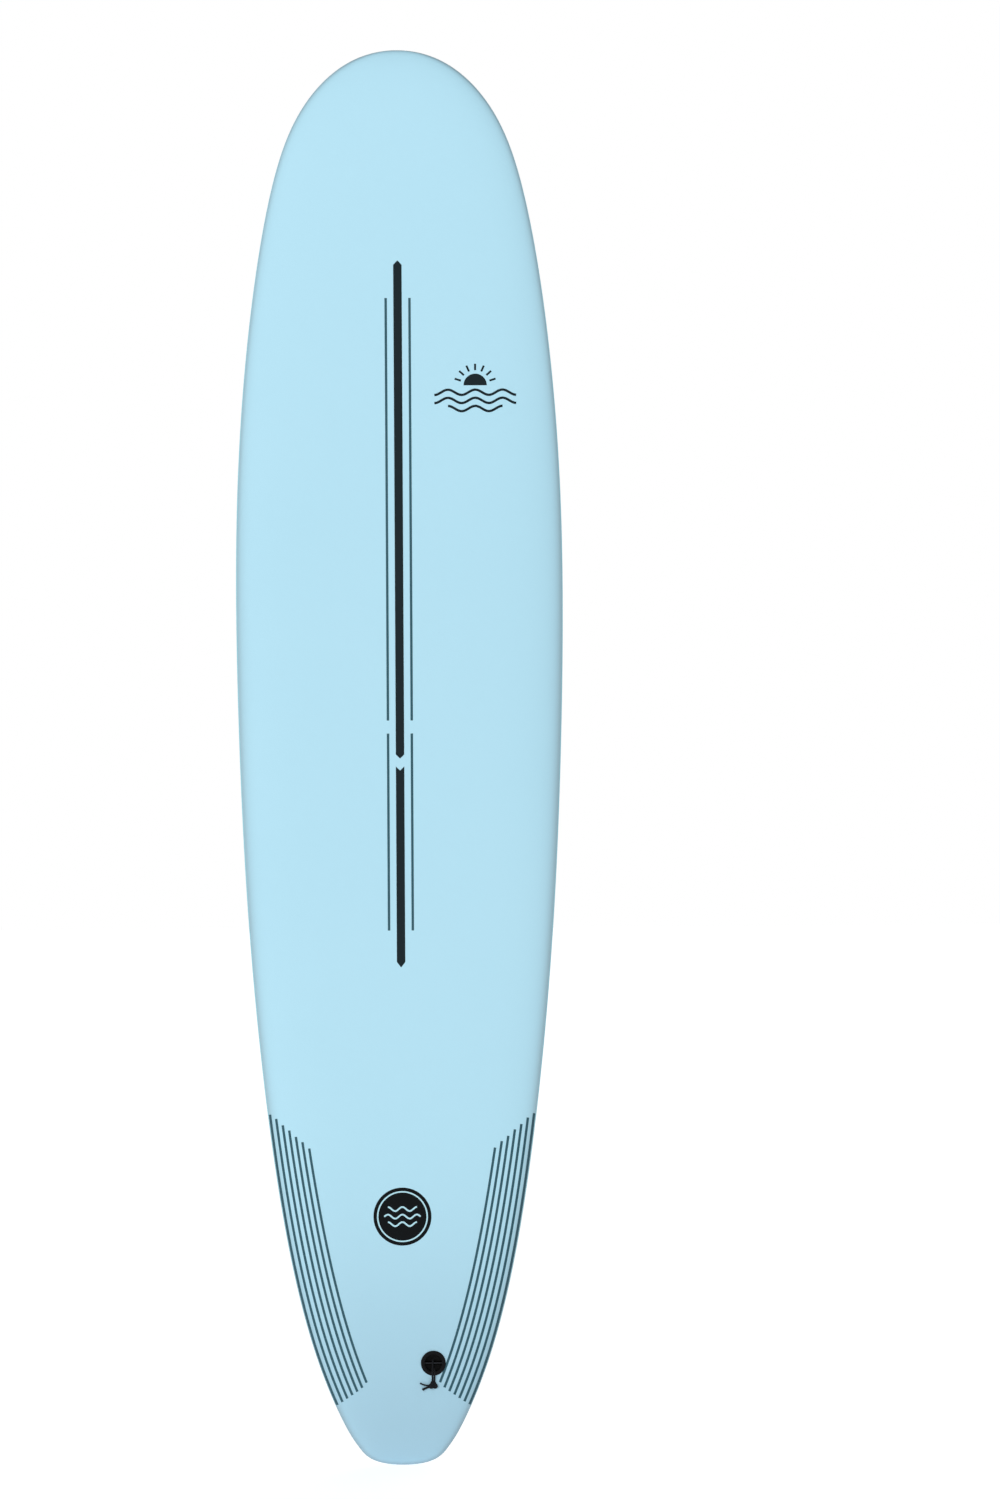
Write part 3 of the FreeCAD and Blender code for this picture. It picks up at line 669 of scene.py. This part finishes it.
line_ink, place = finish("line ink")
pores, relief = pebbled(place)
surface(line_ink, {
    "Base Color": pores.mix(tint(46, 82, 94), tint(58, 96, 108)),
    "Roughness": pores * 0.2 + 0.5,
    "Normal": relief.bump(0.3, 0.0003)}, {"Specular IOR Level": 0.15})
pinstripes = films("deck_pinstripes", [
    stripe(low, high, LINE_HALF, 0, 0, middle) for low, high in ((1.2848, 2.0127), (0.9225, 1.2623))
    for middle in (-PINSTRIPE_AWAY, PINSTRIPE_AWAY)], line_ink)

lines = []
for order, (top, foot) in enumerate(zip(LINE_TOPS, LINE_FEET)):
    run = np.linspace(foot, top, 70)
    pitch = LINE_PITCH - PITCH_LOSS * (run - PITCH_FROM) / PITCH_SPAN
    out = np.interp(run, ring_x, ring_w) - LINE_INSET - order * pitch
    lines += [ribbon(run, out, LINE_HALF), ribbon(run, -out, LINE_HALF)]
tail_lines = films("tail_lines", lines, line_ink)

rays = []
for degrees in range(18, 163, 24):
    turn = math.radians(degrees)
    reach = np.linspace(0.026, 0.037, 4)
    rays.append(ribbon(SUN[0] + reach * math.sin(turn), SUN[1] + reach * math.cos(turn), 0.0017))
sun_motif = films("sun_over_waves", [
    disc(*SUN, 0.0, 0.020, 0, 180), *rays,
    swell(SUN[0] - 0.012, SUN[1], 0.141, LINE_HALF),
    swell(SUN[0] - 0.026, SUN[1], 0.141, LINE_HALF),
    swell(SUN[0] - 0.040, SUN[1], 0.094, LINE_HALF)], ink)

badge_ink, place = finish("badge ink")
pores = place.noise(2600.0, 3.0)
surface(badge_ink, {
    "Base Color": pores.mix(tint(4, 8, 11), tint(8, 13, 17)),
    "Roughness": pores * 0.2 + 0.5}, {"Specular IOR Level": 0.10})
badge = films("round_badge", [disc(*BADGE, 0.0, 0.050)], badge_ink)
pale_ink, place = finish("pale ink")
pores = place.noise(2600.0, 3.0)
surface(pale_ink, {
    "Base Color": pores.mix(tint(170, 216, 230), tint(186, 228, 240)),
    "Roughness": pores * 0.2 + 0.5}, {"Specular IOR Level": 0.4})
badge_lines = films("badge_lines", [
    disc(*BADGE, 0.0415, 0.0440),
    *[swell(BADGE[0] + up, 0, length, 0.0014, 0.0035, 0.025)
      for up, length in ((0.013, 0.050), (0.0, 0.0625), (-0.013, 0.050))]], pale_ink, lift=0.0003)


# ---- Bottom prints ----
# Thin films of black ink on the slick sheet, as glossy as the sheet: one centre stripe with its
# pinstripes, and a pair of wave lines along the rider's left.

gloss_ink, place = finish("bottom ink")
surface(gloss_ink, {
    "Base Color": place.noise(300.0).mix(tint(22, 24, 28), tint(32, 34, 39)),
    "Roughness": place.noise(180.0, 4.0) * 0.14 + 0.2,
    "Normal": place.noise(9.0, 2.0).bump(0.12, 0.004)}, {"IOR": 1.5})
bottom_stripes = films("bottom_stripes", [
    stripe(1.2455, 2.0935, 0.00735, 0.0075, 0.0072),
    *[stripe(1.3025, 2.0360, 0.0017, 0, 0, middle) for middle in (-PINSTRIPE_AWAY, PINSTRIPE_AWAY)],
    *[swell(1.728, over, 0.320, 0.0022, 0.0040, 0.040, True) for over in (-0.198, -0.212)]],
    gloss_ink, bottom=True)


# ---- Fin boxes ----
# Moulded black plastic boxes with a flange, let into the bottom and glued. Each holds a fin's two
# tabs in wells with a screw hole beside each.

box_plastic, place = finish("box plastic")
grain = place.noise(1800.0, 4.0)
surface(box_plastic, {
    "Base Color": grain.mix(tint(24, 21, 23), tint(36, 32, 34)),
    "Roughness": grain * 0.2 + 0.38,
    "Normal": grain.bump(0.25, 0.0002)}, {"Specular IOR Level": 0.25})
for name in ("fin_box_centre", "fin_box_left", "fin_box_right"):
    dress(name, box_plastic)


# ---- Fins ----
# Soft moulded plastic blades, raked and foiled, with two tabs each that push into their box. The
# mould leaves faint flow marks and an uneven gloss.

fin_plastic, place = finish("fin plastic")
flow = place.stretch(1.0, 1.0, 0.35).noise(55.0, 5.0)
grain = place.noise(1500.0, 3.0)
surface(fin_plastic, {
    "Base Color": (flow * 0.7 + grain * 0.3).mix(tint(20, 20, 23), tint(38, 38, 42)),
    "Roughness": flow * 0.25 + grain * 0.1 + 0.30,
    "Normal": grain.bump(0.2, 0.0002, flow.bump(0.08, 0.002))}, {"Specular IOR Level": 0.3})
for name in ("fin_centre", "fin_left", "fin_right"):
    dress(name, fin_plastic)


# ---- Grub screws ----
# Headless stainless screws with a hex socket, two to a box, which pinch the fin's tabs. Their
# ends are dull with a fine grain.

steel, place = finish("screw steel")
grain = place.noise(2200.0, 3.0)
surface(steel, {
    "Base Color": grain.mix(tint(150, 152, 156), tint(196, 198, 201)),
    "Roughness": grain * 0.25 + 0.22,
    "Normal": grain.bump(0.15, 0.0001)}, {"Metallic": 1.0})
for name in nodes:
    if name.startswith("fin_screw"):
        dress(name, steel)


# ---- Leash plug and bar ----
# A moulded black cup with a rounded flange, glued into the deck beside the centre line near the
# tail, and the steel bar across its mouth that the string is tied round.

plug_plastic, place = finish("plug plastic")
grain = place.noise(900.0, 4.0)
surface(plug_plastic, {
    "Base Color": grain.mix(tint(6, 6, 8), tint(13, 13, 16)),
    "Roughness": grain * 0.18 + 0.24,
    "Normal": grain.bump(0.12, 0.0002)}, {"Specular IOR Level": 0.10})
dress("leash_plug", plug_plastic)
bar_steel, place = finish("bar steel")
drawn = place.stretch(0.05, 1.0, 1.0).noise(2600.0, 3.0)
surface(bar_steel, {
    "Base Color": drawn.mix(tint(34, 35, 38), tint(58, 59, 63)),
    "Roughness": drawn * 0.2 + 0.16,
    "Normal": drawn.bump(0.12, 0.0001)}, {"Metallic": 1.0})
dress("leash_bar", bar_steel)


# ---- Leash string ----
# Braided black cord, 2.8 mm thick, that runs from its knot into the cup, round the bar and back
# to the knot, side by side with itself.

STRING_DIA = 0.0028
BRAID_PITCH = 0.0048       # length in which a braid's strand goes once round
ROUTE = [                  # towards the nose, to the rider's left, out of the deck
    (-0.0345, -0.0018, 0.0018), (-0.0275, -0.0018, 0.0018), (-0.0142, -0.0019, 0.0062),
    (-0.0084, -0.0015, -0.0086), (-0.0008, -0.0008, -0.0150), (0.0058, -0.0001, -0.0122),
    (0.0064, 0.0005, -0.0056), (0.0004, 0.0012, -0.0026), (-0.0070, 0.0017, -0.0012),
    (-0.0148, 0.0019, 0.0058), (-0.0275, 0.0017, 0.0018), (-0.0345, 0.0017, 0.0018)]


def by_plug(points):
    """Points towards the nose, to the rider's left and out from the plug's middle at the deck."""
    points = np.asarray(points, float)
    return plug_top + points @ np.stack([plug_ahead, plug_left, plug_out])


route = bpy.data.curves.new("string_route", "CURVE")
route.dimensions = "3D"
route.resolution_u = 28
spline = route.splines.new("NURBS")
spline.points.add(len(ROUTE) - 1)
spline.points.foreach_set("co", np.c_[by_plug(ROUTE), np.ones(len(ROUTE))].ravel())
spline.order_u = 3
spline.use_endpoint_u = True
route_line = bpy.data.objects.new("string_route", route)
scene.collection.objects.link(route_line)
bpy.context.view_layer.update()
route_seen = route_line.evaluated_get(bpy.context.evaluated_depsgraph_get())
line_mesh = bpy.data.meshes.new_from_object(route_seen)
path = np.zeros(len(line_mesh.vertices) * 3)
line_mesh.vertices.foreach_get("co", path)
path = path.reshape(-1, 3)
bpy.data.objects.remove(route_line)


def braid(path, thickness, beside):
    """Braided cord along a path: rings square to the path, whose radius rises where either of two
    sets of strands, winding opposite ways, is at its crown. Both ends close in a low dome."""
    ahead = np.gradient(path, axis=0)
    ahead /= np.linalg.norm(ahead, axis=1, keepdims=True)
    aside = beside - ahead * (ahead @ beside)[:, None]
    aside /= np.linalg.norm(aside, axis=1, keepdims=True)
    upward = np.cross(ahead, aside)
    run = np.concatenate([[0], np.cumsum(np.linalg.norm(np.diff(path, axis=0), axis=1))])
    turn = np.linspace(0, 2 * math.pi, 37)
    thickness = np.broadcast_to(thickness, run.shape)[:, None]
    wind = run[:, None] * 2 * math.pi / BRAID_PITCH
    crown = np.maximum(np.abs(np.sin(3 * turn + wind)), np.abs(np.sin(3 * turn - wind)))
    reach = thickness / 2 * (0.84 + 0.17 * crown)
    way = np.cos(turn)[:, None] * aside[:, None] + np.sin(turn)[:, None] * upward[:, None]
    tube = path[:, None] + reach[..., None] * way
    ends = [path[end] + (tube[end] - path[end]) * size + ahead[end] * thickness[end] * out
            for end, size, out in ((0, 0, -0.18), (0, 0.7, -0.12), (-1, 0.7, 0.12), (-1, 0, 0.18))]
    return np.concatenate([ends[0][None], ends[1][None], tube, ends[2][None], ends[3][None]])


string_cord, place = finish("braided cord")
yarn = place.cells(1500.0)
fuzz = place.noise(4000.0, 3.0)
surface(string_cord, {
    "Base Color": (yarn * 0.5 + fuzz * 0.5).mix(tint(7, 9, 12), tint(24, 27, 33)),
    "Roughness": fuzz * 0.2 + 0.65,
    "Normal": (yarn + fuzz * 0.5).bump(0.4, 0.0002)},
    {"Sheen Weight": 0.08, "Sheen Roughness": 0.4, "Specular IOR Level": 0.2})

leash_string = weave("leash_cord", [braid(path, STRING_DIA, plug_left)], string_cord, closed=True)
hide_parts("leash_string")


# ---- Leash knot ----
# Overhand knot in the doubled cord, pulled tight on the deck below the cup. Two short ends with
# melted tips lie out to the rider's left.

KNOT = (-0.0375, 0.0006, 0.0033)
KNOT_STRAND = 0.0024
KNOT_APART = 0.00112       # middle of the knot's path to each of its two strands
LOOSE_ENDS = [             # length, sweep in degrees, start, bend and thickness
    (0.0210, -9, -0.0005, -0.0018, 0.0026), (0.0172, 17, -0.0030, 0.0012, 0.0037)]


def overhand(aside):
    """Centre line of one of the knot's two strands: the flat three-lobed knot whose point at t is
    sin t + 2 sin 2t across and 2 cos 2t - cos t along, moved squarely aside. It goes over and
    under itself as sin 3t."""
    t = np.linspace(0.03, 2 * math.pi - 0.03, 360)
    across = 0.0021 * (np.sin(t) + 2 * np.sin(2 * t))
    along = 0.0020 * (2 * np.cos(2 * t) - np.cos(t))
    slope = np.stack([np.gradient(along), np.gradient(across)])
    slope /= np.linalg.norm(slope, axis=0)
    return by_plug(np.stack([
        KNOT[0] + along + slope[1] * aside, KNOT[1] + across - slope[0] * aside,
        KNOT[2] - 0.0017 * np.sin(3 * t)], -1))


strands = [braid(overhand(aside), KNOT_STRAND, plug_out) for aside in (-KNOT_APART, KNOT_APART)]
for length, sweep, start, bend, thickness in LOOSE_ENDS:
    go = np.linspace(0, 1, 80)
    swing = math.radians(sweep)
    curl = bend * np.sin(go * math.pi)
    loose = by_plug(np.stack([
        KNOT[0] + start - length * go * math.sin(swing) + curl * math.cos(swing),
        KNOT[1] + 0.0015 + length * go * math.cos(swing) + curl * math.sin(swing),
        0.0021 + 0.0012 * (1 - go) ** 2], -1))
    strands.append(braid(loose, thickness * (1 + 0.25 * np.clip(go * 5 - 4, 0, 1) ** 2), plug_out))
leash_knot = weave("leash_cord_knot", strands, string_cord, closed=True)
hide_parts("leash_knot")
